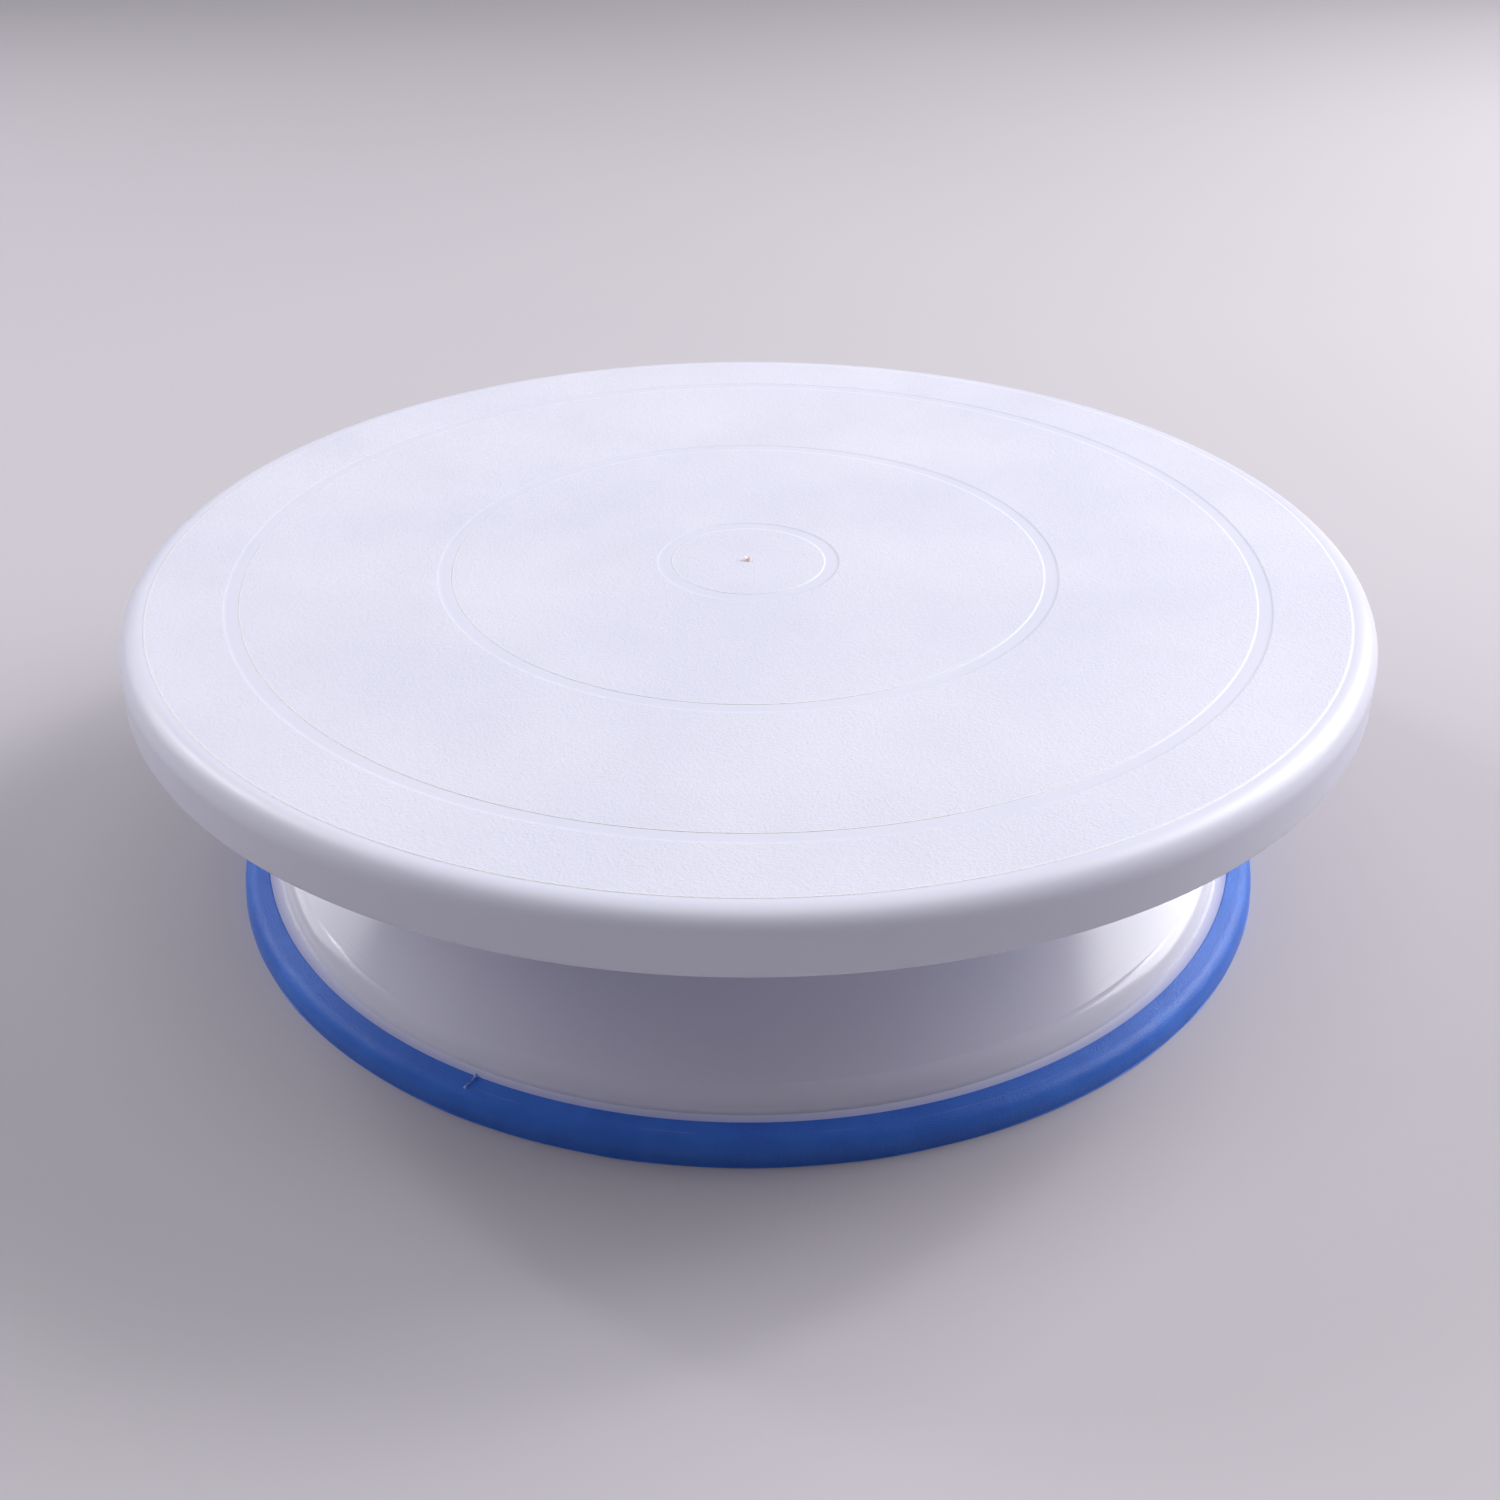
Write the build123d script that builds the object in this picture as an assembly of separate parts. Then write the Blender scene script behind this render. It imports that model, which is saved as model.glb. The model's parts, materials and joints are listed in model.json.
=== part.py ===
from build123d import *
import os
from math import cos, pi, radians, sin

# Plastic sculpting turntable: a ribbed top plate that spins on a caged ball bearing
# above a trumpet-shaped base, which stands on a soft anti-slip ring.
# Millimetres, +Z up, origin on the floor at the middle of the base.

# ---- driving dimensions ----------------------------------------------------
TOP_FACE = 72.6

PLATE_RADIUS = 140.0
PLATE_SKIN = 2.8
SKIRT_DEPTH = 12.8
SKIRT_WALL = 2.7
RIM_ROUNDING = 4.8
PANEL_RADIUS = 134.0
RIM_STEP = 0.15
CHANNEL_INNER_RADII = (17.5, 67.4, 114.1)
CHANNEL_WIDTH = 3.65
CHANNEL_DEPTH = 0.12
CHANNEL_WALL_LEAN = 0.5
GATE_STUB_RADIUS = 0.65
GATE_STUB_HEIGHT = 0.8
PLATE_RIB_COUNT = 12
PLATE_RIB_WALL = 1.8
PLATE_RIB_DEPTH = 4.6
PLATE_RING_RIB_RADIUS = 97.0
HUB_GUSSET_COUNT = 6
PLATE_HUB_RADIUS = 11.0

SPINDLE_RADIUS = 5.0
SPINDLE_COLLAR_RADIUS = 9.0
SPINDLE_COLLAR_HEIGHT = 1.5
SPINDLE_CHAMFER = 0.5
TAPPED_DEPTH = 14.0
THRUST_WASHER_THICKNESS = 1.0
RETAINER_THICKNESS = 1.5
RUNNING_CLEARANCE = 0.05
END_PLAY = 0.3
SCREW_RADIUS = 2.5
SCREW_HEAD_RADIUS = 4.75
SCREW_HEAD_HEIGHT = 3.0
SCREW_LENGTH = 12.0
CROSS_LENGTH = 5.0
CROSS_WIDTH = 1.0
CROSS_DEPTH = 1.7

BALL_RADIUS = 3.0
BALL_COUNT = 12
BALL_PITCH_RADIUS = 46.0
BALL_CENTRE_HEIGHT = 64.0
BALL_GAP = 0.1
RACE_WIDTH = 16.0
RACE_THICKNESS = 2.2
RACE_SETBACK = 2.1
CAGE_THICKNESS = 2.4
CAGE_WIDTH = 14.8
POCKET_CLEARANCE = 0.15
LIP_WALL = 1.4
LIP_HEIGHT = 1.5

DECK_TOP = 59.7
BASE_WALL = 2.6
EDGE_LINE_RADIUS = 109.9
EDGE_LINE_HEIGHT = 10.9
NECK_RADIUS = 64.0
TRUMPET_FOOT_SLOPE = 34.0
TRUMPET_NECK_SLOPE = 58.0
SHOULDER_RADIUS = 6.13
SHOULDER_FOOT_SLOPE = 80.0
SHOULDER_TOP_SLOPE = 20.0
FLANGE_RADIUS = 116.0
FLANGE_INNER_RADIUS = 109.5
FLANGE_TOP = 6.2
TONGUE_RADIUS = 119.6
TONGUE_TOP = 4.4
BASE_RIB_COUNT = 6
BASE_RIB_WALL = 2.0
BASE_RIB_SETBACK = 14.0

BUSH_RADIUS = 7.0
BUSH_FLANGE_RADIUS = 8.5
BUSH_FLANGE_HEIGHT = 1.5
BUSH_LENGTH = 12.0
HUB_TUBE_RADIUS = 9.8
HUB_CUP_RADIUS = 14.4
HUB_CUP_BORE = 12.0
HUB_CUP_BOTTOM = 18.0
HUB_SHOULDER = 32.5
CAP_WALL = 1.6
CAP_PLUG = 4.0

FOOT_RING_RADIUS = 122.0
FOOT_RING_INNER_RADIUS = 106.0
FOOT_RING_WEB = 2.6
FOOT_RING_LIP_RADIUS = 116.1
FOOT_RING_LIP_TOP = 6.4
FOOT_RING_CORNER_HEIGHT = 4.9
FOOT_RING_ROUNDING = 4.0
GRIP_GROOVE_RADII = (109.0, 113.0, 117.0)
GRIP_GROOVE_WIDTH = 1.4
GRIP_GROOVE_DEPTH = 0.8

# ---- derived levels --------------------------------------------------------
PLATE_UNDERSIDE = TOP_FACE - PLATE_SKIN
SKIRT_BOTTOM = TOP_FACE - SKIRT_DEPTH
UPPER_RACE_BOTTOM = BALL_CENTRE_HEIGHT + RACE_SETBACK
UPPER_RACE_TOP = UPPER_RACE_BOTTOM + RACE_THICKNESS
LOWER_RACE_TOP = BALL_CENTRE_HEIGHT - RACE_SETBACK
THRUST_WASHER_BOTTOM = DECK_TOP + 0.2
COLLAR_BOTTOM = THRUST_WASHER_BOTTOM + THRUST_WASHER_THICKNESS
COLLAR_TOP = COLLAR_BOTTOM + SPINDLE_COLLAR_HEIGHT
SPINDLE_TOP = PLATE_UNDERSIDE - 0.8
SPINDLE_BOTTOM = HUB_SHOULDER - BUSH_FLANGE_HEIGHT - END_PLAY
RETAINER_BOTTOM = SPINDLE_BOTTOM - RETAINER_THICKNESS
SEAT_INNER = BALL_PITCH_RADIUS - RACE_WIDTH / 2
SEAT_OUTER = BALL_PITCH_RADIUS + RACE_WIDTH / 2
TRUMPET_RADIUS = (EDGE_LINE_RADIUS - NECK_RADIUS) / (
    sin(radians(TRUMPET_NECK_SLOPE)) - sin(radians(TRUMPET_FOOT_SLOPE))
)


# ---- helpers ---------------------------------------------------------------
def turn(*edges):
    """Solid of revolution about Z from profile edges given as (radius, height)."""
    return revolve(Plane.XZ * make_face(edges), Axis.Z)


def turned(*points):
    """Turned solid from a closed outline of straight (radius, height) runs."""
    return turn(Polyline(*points, close=True))


def turned_round(points, radii):
    """Turned solid whose outline corners are rounded, one radius for each point."""
    return turn(*FilletPolyline(*points, radius=radii, close=True).edges())


def tube(outer, inner, bottom, top):
    """Plain ring with a rectangular section."""
    return turned((inner, bottom), (outer, bottom), (outer, top), (inner, top))


def rod(radius, bottom, top):
    """Plain round bar on the axis."""
    return turned((0, bottom), (radius, bottom), (radius, top), (0, top))


def fins(count, inner, outer, bottom, top, wall, start=0.0):
    """Radial walls, evenly spaced about the axis."""
    fin = Pos((inner + outer) / 2, 0, (bottom + top) / 2) * Box(outer - inner, wall, top - bottom)
    walls = Part()
    for k in range(count):
        walls += Rot(0, 0, start + 360 * k / count) * fin
    return walls


def raceway():
    """The torus that the balls roll in, cut from both races."""
    return Pos(0, 0, BALL_CENTRE_HEIGHT) * Torus(BALL_PITCH_RADIUS, BALL_RADIUS + BALL_GAP)


def trumpet_point(slope, inset=0.0):
    """Point where the flared wall has this slope, or as far behind it as inset."""
    start = radians(TRUMPET_FOOT_SLOPE)
    angle = radians(slope)
    reach = TRUMPET_RADIUS + inset
    centre_r = EDGE_LINE_RADIUS + TRUMPET_RADIUS * sin(start)
    centre_z = EDGE_LINE_HEIGHT + TRUMPET_RADIUS * cos(start)
    return (centre_r - reach * sin(angle), centre_z - reach * cos(angle))


def trumpet_arc(inset=0.0):
    """The flared wall's arc, from its foot to its neck."""
    middle = (TRUMPET_FOOT_SLOPE + TRUMPET_NECK_SLOPE) / 2
    return ThreePointArc(
        trumpet_point(TRUMPET_FOOT_SLOPE, inset),
        trumpet_point(middle, inset),
        trumpet_point(TRUMPET_NECK_SLOPE, inset),
    )


def crown_arc(end, radius, first_slope, last_slope, at_start=False):
    """Convex arc between two slopes, which stops (or starts) at the point given."""
    fixed = radians(first_slope if at_start else last_slope)
    centre = (end[0] - radius * sin(fixed), end[1] - radius * cos(fixed))
    points = []
    for slope in (first_slope, (first_slope + last_slope) / 2, last_slope):
        angle = radians(slope)
        points.append((centre[0] + radius * sin(angle), centre[1] + radius * cos(angle)))
    return ThreePointArc(*points)


# ---- top plate and what turns with it --------------------------------------
def channel(inner):
    """Very shallow flat-floored ring channel in the top face, with gently sloping walls."""
    outer = inner + CHANNEL_WIDTH
    floor = TOP_FACE - CHANNEL_DEPTH
    return turned(
        (inner + CHANNEL_WALL_LEAN, floor),
        (outer - CHANNEL_WALL_LEAN, floor),
        (outer, TOP_FACE),
        (outer, TOP_FACE + 1),
        (inner, TOP_FACE + 1),
        (inner, TOP_FACE),
    )


def gate_stub():
    """What is left where the moulding was cut from its gate, at the middle of the plate."""
    return turned(
        (0, TOP_FACE - 1),
        (GATE_STUB_RADIUS, TOP_FACE - 1),
        (GATE_STUB_RADIUS, TOP_FACE),
        (GATE_STUB_RADIUS * 0.6, TOP_FACE + GATE_STUB_HEIGHT),
        (0, TOP_FACE + GATE_STUB_HEIGHT),
    )


def plate_shell():
    """Disc with a rounded rim and a turned-down skirt, its smooth rim a step lower."""
    inner_wall = PLATE_RADIUS - SKIRT_WALL
    rim_top = TOP_FACE - RIM_STEP
    outline = [
        (0, PLATE_UNDERSIDE),
        (inner_wall, PLATE_UNDERSIDE),
        (inner_wall, SKIRT_BOTTOM),
        (PLATE_RADIUS, SKIRT_BOTTOM),
        (PLATE_RADIUS, rim_top),
        (0, rim_top),
    ]
    panel = rod(PANEL_RADIUS, PLATE_UNDERSIDE, TOP_FACE)
    return turned_round(outline, [0, 2.0, 0.8, 0.8, RIM_ROUNDING, 0]) + panel


def plate_bearing_seat():
    """Pad and two lips that locate the upper race, with the hub and its gussets."""
    pad = tube(SEAT_OUTER + LIP_WALL, SEAT_INNER - LIP_WALL, UPPER_RACE_TOP, PLATE_UNDERSIDE)
    lip_bottom = UPPER_RACE_TOP - LIP_HEIGHT
    outer_lip = tube(SEAT_OUTER + LIP_WALL, SEAT_OUTER, lip_bottom, PLATE_UNDERSIDE)
    inner_lip = tube(SEAT_INNER, SEAT_INNER - LIP_WALL, lip_bottom, PLATE_UNDERSIDE)
    hub = rod(PLATE_HUB_RADIUS, COLLAR_TOP, PLATE_UNDERSIDE)
    gussets = fins(
        HUB_GUSSET_COUNT,
        PLATE_HUB_RADIUS - 3,
        SEAT_INNER - LIP_WALL / 2,
        PLATE_UNDERSIDE - PLATE_RIB_DEPTH,
        PLATE_UNDERSIDE,
        PLATE_RIB_WALL,
    )
    return pad + outer_lip + inner_lip + hub + gussets


def plate_ribs():
    """Radial ribs out to the skirt, tied by one ring."""
    rib_bottom = PLATE_UNDERSIDE - PLATE_RIB_DEPTH
    spokes = fins(
        PLATE_RIB_COUNT,
        SEAT_OUTER + LIP_WALL / 2,
        PLATE_RADIUS - SKIRT_WALL / 2,
        rib_bottom,
        PLATE_UNDERSIDE,
        PLATE_RIB_WALL,
        start=180 / PLATE_RIB_COUNT,
    )
    ring_outer = PLATE_RING_RIB_RADIUS + PLATE_RIB_WALL
    return spokes + tube(ring_outer, PLATE_RING_RIB_RADIUS, rib_bottom, PLATE_UNDERSIDE)


def top_plate():
    plate = plate_shell() + plate_bearing_seat() + plate_ribs()
    for inner in CHANNEL_INNER_RADII:
        plate -= channel(inner)
    plate += gate_stub()
    return plate - rod(SPINDLE_RADIUS, COLLAR_TOP - 1, SPINDLE_TOP + 0.2)


def spindle():
    """Steel pin with a collar, pressed into the plate and tapped for the screw."""
    outline = [
        (0, SPINDLE_BOTTOM),
        (SPINDLE_RADIUS - SPINDLE_CHAMFER, SPINDLE_BOTTOM),
        (SPINDLE_RADIUS, SPINDLE_BOTTOM + SPINDLE_CHAMFER),
        (SPINDLE_RADIUS, COLLAR_BOTTOM),
        (SPINDLE_COLLAR_RADIUS, COLLAR_BOTTOM),
        (SPINDLE_COLLAR_RADIUS, COLLAR_TOP),
        (SPINDLE_RADIUS, COLLAR_TOP),
        (SPINDLE_RADIUS, SPINDLE_TOP - SPINDLE_CHAMFER),
        (SPINDLE_RADIUS - SPINDLE_CHAMFER, SPINDLE_TOP),
        (0, SPINDLE_TOP),
    ]
    return turned(*outline) - rod(SCREW_RADIUS, SPINDLE_BOTTOM - 1, SPINDLE_BOTTOM + TAPPED_DEPTH)


def upper_race():
    return tube(SEAT_OUTER, SEAT_INNER, UPPER_RACE_BOTTOM, UPPER_RACE_TOP) - raceway()


def thrust_washer():
    """Nylon washer between the spindle's collar and the upper bush."""
    bore = SPINDLE_RADIUS + RUNNING_CLEARANCE
    return tube(SPINDLE_COLLAR_RADIUS, bore, THRUST_WASHER_BOTTOM, COLLAR_BOTTOM)


def retaining_washer():
    """Washer that stops the plate from being lifted off."""
    return tube(BUSH_FLANGE_RADIUS + 0.5, SCREW_RADIUS + 0.15, RETAINER_BOTTOM, SPINDLE_BOTTOM)


def retaining_screw():
    """Pan-head screw with a cross recess, driven up into the spindle."""
    head_bottom = RETAINER_BOTTOM - SCREW_HEAD_HEIGHT
    shank_top = SPINDLE_BOTTOM + SCREW_LENGTH
    shank_radius = SCREW_RADIUS - 0.02
    outline = [
        (0, head_bottom),
        (SCREW_HEAD_RADIUS, head_bottom),
        (SCREW_HEAD_RADIUS, RETAINER_BOTTOM),
        (shank_radius, RETAINER_BOTTOM),
        (shank_radius, shank_top),
        (0, shank_top),
    ]
    screw = turned_round(outline, [0, 1.2, 0, 0, 0.6, 0])
    slot = Pos(0, 0, head_bottom) * Box(CROSS_LENGTH, CROSS_WIDTH, CROSS_DEPTH * 2)
    return screw - slot - Rot(0, 0, 90) * slot


# ---- bearing ---------------------------------------------------------------
def ball_place(k):
    angle = 2 * pi * k / BALL_COUNT
    return Pos(BALL_PITCH_RADIUS * cos(angle), BALL_PITCH_RADIUS * sin(angle), BALL_CENTRE_HEIGHT)


def ball(k):
    return ball_place(k) * Sphere(BALL_RADIUS)


def ball_cage():
    """Flat plastic ring with one round pocket for each ball."""
    bottom = BALL_CENTRE_HEIGHT - CAGE_THICKNESS / 2
    half = CAGE_WIDTH / 2
    cage = tube(BALL_PITCH_RADIUS + half, BALL_PITCH_RADIUS - half, bottom, bottom + CAGE_THICKNESS)
    for k in range(BALL_COUNT):
        cage -= ball_place(k) * Cylinder(BALL_RADIUS + POCKET_CLEARANCE, CAGE_THICKNESS * 2)
    return cage


# ---- base ------------------------------------------------------------------
def base_hollow():
    """The space under the flared wall and deck, which the ribs fill in slices."""
    inner_foot = trumpet_point(TRUMPET_FOOT_SLOPE, BASE_WALL / 2)
    inner_neck = trumpet_point(TRUMPET_NECK_SLOPE, BASE_WALL / 2)
    deck_middle = DECK_TOP - BASE_WALL / 2
    rest = Polyline(
        inner_neck,
        (inner_neck[0] - 2, deck_middle),
        (HUB_TUBE_RADIUS - 1, deck_middle),
        (HUB_TUBE_RADIUS - 1, HUB_SHOULDER + 2),
        (HUB_CUP_RADIUS - 1, HUB_SHOULDER),
        (HUB_CUP_RADIUS - 1, HUB_CUP_BOTTOM + 4),
        (inner_foot[0] - BASE_RIB_SETBACK, HUB_CUP_BOTTOM + 1),
        inner_foot,
    )
    return turn(trumpet_arc(BASE_WALL / 2), *rest.edges())


def base_wall():
    """Flange, convex shoulder, flared wall and deck as one turned skin."""
    edge_line = (EDGE_LINE_RADIUS, EDGE_LINE_HEIGHT)
    shoulder = crown_arc(edge_line, SHOULDER_RADIUS, SHOULDER_FOOT_SLOPE, SHOULDER_TOP_SLOPE)
    neck = trumpet_point(TRUMPET_NECK_SLOPE)
    neck_rise = DECK_TOP - neck[1]
    neck_radius = neck_rise / (1 - cos(radians(TRUMPET_NECK_SLOPE)))
    crown = crown_arc(neck, neck_radius, TRUMPET_NECK_SLOPE, 0, at_start=True)
    foot = shoulder @ 0
    inner_foot = trumpet_point(TRUMPET_FOOT_SLOPE, BASE_WALL)
    inner_neck = trumpet_point(TRUMPET_NECK_SLOPE, BASE_WALL)
    inside = Polyline(
        (0, DECK_TOP),
        (0, DECK_TOP - BASE_WALL),
        (inner_neck[0] - 1.5, DECK_TOP - BASE_WALL),
        inner_neck,
    )
    flange = Polyline(
        inner_foot,
        (FLANGE_INNER_RADIUS, FOOT_RING_WEB + 2),
        (FLANGE_INNER_RADIUS, FOOT_RING_WEB),
        (TONGUE_RADIUS, FOOT_RING_WEB),
        (TONGUE_RADIUS, TONGUE_TOP),
        (FLANGE_RADIUS, TONGUE_TOP),
        (FLANGE_RADIUS, FLANGE_TOP),
        (foot.X, foot.Y),
    )
    deck = Line(crown @ 1, (0, DECK_TOP))
    return turn(
        shoulder,
        trumpet_arc(),
        crown,
        deck,
        *inside.edges(),
        trumpet_arc(BASE_WALL),
        *flange.edges(),
    )


def base_hub():
    """Central tube for the bushes, widening below into a cup for the screw."""
    return turned(
        (0, HUB_CUP_BOTTOM),
        (HUB_CUP_RADIUS, HUB_CUP_BOTTOM),
        (HUB_CUP_RADIUS, HUB_SHOULDER + BASE_WALL),
        (HUB_TUBE_RADIUS, HUB_SHOULDER + BASE_WALL),
        (HUB_TUBE_RADIUS, DECK_TOP),
        (0, DECK_TOP),
    )


def base_shell():
    first = 180 / BASE_RIB_COUNT
    ribs = fins(BASE_RIB_COUNT, BUSH_RADIUS, EDGE_LINE_RADIUS, 0, DECK_TOP, BASE_RIB_WALL, first)
    outer_lip = tube(SEAT_OUTER + LIP_WALL, SEAT_OUTER, DECK_TOP - 1, DECK_TOP + LIP_HEIGHT)
    inner_lip = tube(SEAT_INNER, SEAT_INNER - LIP_WALL, DECK_TOP - 1, DECK_TOP + LIP_HEIGHT)
    shell = base_wall() + base_hub() + (ribs & base_hollow()) + outer_lip + inner_lip
    shell -= rod(BUSH_RADIUS, HUB_CUP_BOTTOM, DECK_TOP + 1)
    shell -= rod(HUB_CUP_BORE, HUB_CUP_BOTTOM - 1, HUB_SHOULDER)
    return shell - rod(BUSH_FLANGE_RADIUS + 0.2, DECK_TOP - BUSH_FLANGE_HEIGHT, DECK_TOP + 1)


def lower_race():
    return tube(SEAT_OUTER, SEAT_INNER, DECK_TOP, LOWER_RACE_TOP) - raceway()


def bush(flange_face, direction):
    """Flanged bush, whose flange's open face is at flange_face."""
    bore = SPINDLE_RADIUS + RUNNING_CLEARANCE
    shoulder = flange_face + direction * BUSH_FLANGE_HEIGHT
    end = flange_face + direction * BUSH_LENGTH
    return turned(
        (bore, flange_face),
        (BUSH_FLANGE_RADIUS, flange_face),
        (BUSH_FLANGE_RADIUS, shoulder),
        (BUSH_RADIUS, shoulder),
        (BUSH_RADIUS, end),
        (bore, end),
    )


def hub_cap():
    """Push-in cap that closes the cup under the screw."""
    cap_bottom = HUB_CUP_BOTTOM - CAP_WALL
    plug_top = HUB_CUP_BOTTOM + CAP_PLUG
    outline = [
        (0, cap_bottom),
        (HUB_CUP_RADIUS, cap_bottom),
        (HUB_CUP_RADIUS, HUB_CUP_BOTTOM),
        (HUB_CUP_BORE, HUB_CUP_BOTTOM),
        (HUB_CUP_BORE, plug_top),
        (HUB_CUP_BORE - CAP_WALL, plug_top),
        (HUB_CUP_BORE - CAP_WALL, HUB_CUP_BOTTOM),
        (0, HUB_CUP_BOTTOM),
    ]
    return turned_round(outline, [0, 0.8, 0, 0, 0.5, 0.5, 0, 0])


def anti_slip_ring():
    """Soft ring clipped over the base's tongue: the only piece that meets the floor."""
    outline = [
        (FOOT_RING_INNER_RADIUS, 0),
        (FOOT_RING_RADIUS, 0),
        (FOOT_RING_RADIUS, FOOT_RING_CORNER_HEIGHT),
        (FOOT_RING_LIP_RADIUS, FOOT_RING_LIP_TOP),
        (FOOT_RING_LIP_RADIUS, TONGUE_TOP),
        (TONGUE_RADIUS, TONGUE_TOP),
        (TONGUE_RADIUS, FOOT_RING_WEB),
        (FOOT_RING_INNER_RADIUS, FOOT_RING_WEB),
    ]
    ring = turned_round(outline, [0.4, 0.3, FOOT_RING_ROUNDING, 0.2, 0, 0, 0, 0.6])
    for radius in GRIP_GROOVE_RADII:
        ring -= tube(radius + GRIP_GROOVE_WIDTH, radius, -1, GRIP_GROOVE_DEPTH)
    return ring


# ---- build and write -------------------------------------------------------
nodes = {
    "top_plate": top_plate(),
    "spindle": spindle(),
    "upper_race": upper_race(),
    "thrust_washer": thrust_washer(),
    "retaining_washer": retaining_washer(),
    "retaining_screw": retaining_screw(),
    "ball_cage": ball_cage(),
    "base_shell": base_shell(),
    "lower_race": lower_race(),
    "upper_bush": bush(DECK_TOP, -1),
    "lower_bush": bush(HUB_SHOULDER - BUSH_FLANGE_HEIGHT, 1),
    "hub_cap": hub_cap(),
    "anti_slip_ring": anti_slip_ring(),
}
for k in range(BALL_COUNT):
    nodes[f"ball_{k + 1:02d}"] = ball(k)

os.makedirs("parts", exist_ok=True)
for name, shape in nodes.items():
    export_step(shape, f"parts/{name}.step")
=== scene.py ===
import json
import math
import random

import bmesh
import bpy
from mathutils import Matrix, Vector, noise


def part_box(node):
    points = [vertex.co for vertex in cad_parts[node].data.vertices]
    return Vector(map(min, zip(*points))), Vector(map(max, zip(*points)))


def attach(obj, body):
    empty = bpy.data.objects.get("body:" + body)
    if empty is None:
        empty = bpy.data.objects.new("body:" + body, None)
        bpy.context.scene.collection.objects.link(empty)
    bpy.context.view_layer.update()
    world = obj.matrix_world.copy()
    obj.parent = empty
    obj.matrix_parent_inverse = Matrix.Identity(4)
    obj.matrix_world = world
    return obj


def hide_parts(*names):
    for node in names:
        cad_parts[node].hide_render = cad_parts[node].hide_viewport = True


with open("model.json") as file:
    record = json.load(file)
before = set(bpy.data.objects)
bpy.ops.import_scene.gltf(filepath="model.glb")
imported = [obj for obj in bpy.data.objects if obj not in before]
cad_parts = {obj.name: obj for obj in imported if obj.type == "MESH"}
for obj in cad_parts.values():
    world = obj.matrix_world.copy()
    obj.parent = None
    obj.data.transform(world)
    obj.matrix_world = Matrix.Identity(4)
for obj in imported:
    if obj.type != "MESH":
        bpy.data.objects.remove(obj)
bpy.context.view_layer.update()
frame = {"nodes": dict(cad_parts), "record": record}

# Sizes are in millimetres. An outline's corner is (radius, height) or (radius, height, rounding).
MM = 0.001
SEGMENTS = 240
SHARP_ANGLE = math.radians(32)

# A point this far on either side of an arc keeps the flats beside it shaded flat.
HOLD = 0.12
# A corner that turns by less than this many radians is too slight for an arc.
SLIGHT_BEND = 0.08

MOUNTS = {mount["name"]: mount for mount in frame["record"]["mounts"]}
TOP = MOUNTS["work_surface"]["pos_m"][2] / MM


def span(node):
    """Lowest height, highest height and radius of a CAD node, in millimetres."""
    low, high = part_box(node)
    return low.z / MM, high.z / MM, round(max(high.x, high.y, -low.x, -low.y) / MM, 1)


SKIRT_BOTTOM, _, PLATE_R = span("top_plate")
_, RACE_TOP, RACE_R = span("upper_race")
DECK, _, _ = span("lower_race")
WEB_TOP, _, TONGUE_R = span("base_shell")
_, _, RING_R = span("anti_slip_ring")
CAP_BOTTOM, _, CUP_R = span("hub_cap")

# Both races have the same width, and each is held between two low lips.
RACE_WIDTH = 16.0
RACE_INNER_R = RACE_R - RACE_WIDTH
LIP_WALL = 1.4
LIP_HEIGHT = 1.5
# Gap left where one piece is pressed into another.
PRESS_GAP = 0.02
# Ejector pins leave shallow round marks under the plate and under the deck.
EJECTOR_R = 3.0
EJECTOR_DEPTH = 0.15
PLATE_MARK_RADII = (118.0, 77.0)
DECK_MARK_RADII = (42.0, 22.0)

PLATE_SKIN = 2.8
SKIRT_WALL = 2.7
PANEL_R = 134.0
RIM_STEP = 0.08
RIM_SLOPE = 0.45
RIM_ROUNDING = 4.8
CHANNEL_INNER_RADII = (17.5, 67.4, 114.1)
CHANNEL_WIDTH = 3.65
CHANNEL_DEPTH = 0.10
# How far a channel's inner and outer walls lean, measured along the radius.
CHANNEL_LEANS = (0.35, 0.9)
HUB_R = 11.0
HUB_BOTTOM = 62.4
SPINDLE_R = 5.0
UNDERSIDE = TOP - PLATE_SKIN
BORE_END = UNDERSIDE - 0.6
RIB_BOTTOM = UNDERSIDE - 4.6
# The ring rib's inner radius, its width at the root, and the sides of its free edge.
RING_RIB_R = 97.0
RING_RIB_ROOT = 1.9
RING_RIB_EDGE = (0.2, 1.7)
SPOKE_COUNT = 12
GUSSET_COUNT = 6
# How far a straight rib reaches into the skin above it.
RIB_BITE = 0.6

# The flared wall meets the shoulder at the edge line. Slopes are in degrees.
EDGE_LINE = (109.9, 10.9)
NECK_R = 64.0
FOOT_SLOPE = 34.0
NECK_SLOPE = 58.0
BASE_WALL = 2.6
BASE_RIB_COUNT = 6
SHOULDER_R = 6.13
SHOULDER_SLOPES = (80.0, 20.0)
FLANGE = (116.0, 6.2)
TONGUE_TOP = 4.4
WEB_INNER_R = 110.0

# The hub under the deck, with room for the bushes, the retaining washer and the cap.
BUSH_SEAT_R = 8.7
BUSH_SEAT_DEPTH = 1.5
BUSH_BORE_R = 7.01
HUB_TUBE_R = 9.8
HUB_TUBE_FOOT_R = 10.0
HUB_SHOULDER = 32.5
HUB_CUP_TOP = 35.0
HUB_CUP_BORE = 12.01
CAP_RIM = 1.61

RING_INNER_R = 106.0
RING_CORNER_HEIGHT = 4.9
RING_ROUNDING = 4.0
RING_LIP = (116.0, 6.4)
GROOVE_RADII = (109.0, 113.0, 117.0)
GROOVE_WIDTH = 1.4
GROOVE_DEPTH = 0.8
GROOVE_FLOOR = (0.1, 1.3)
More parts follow.
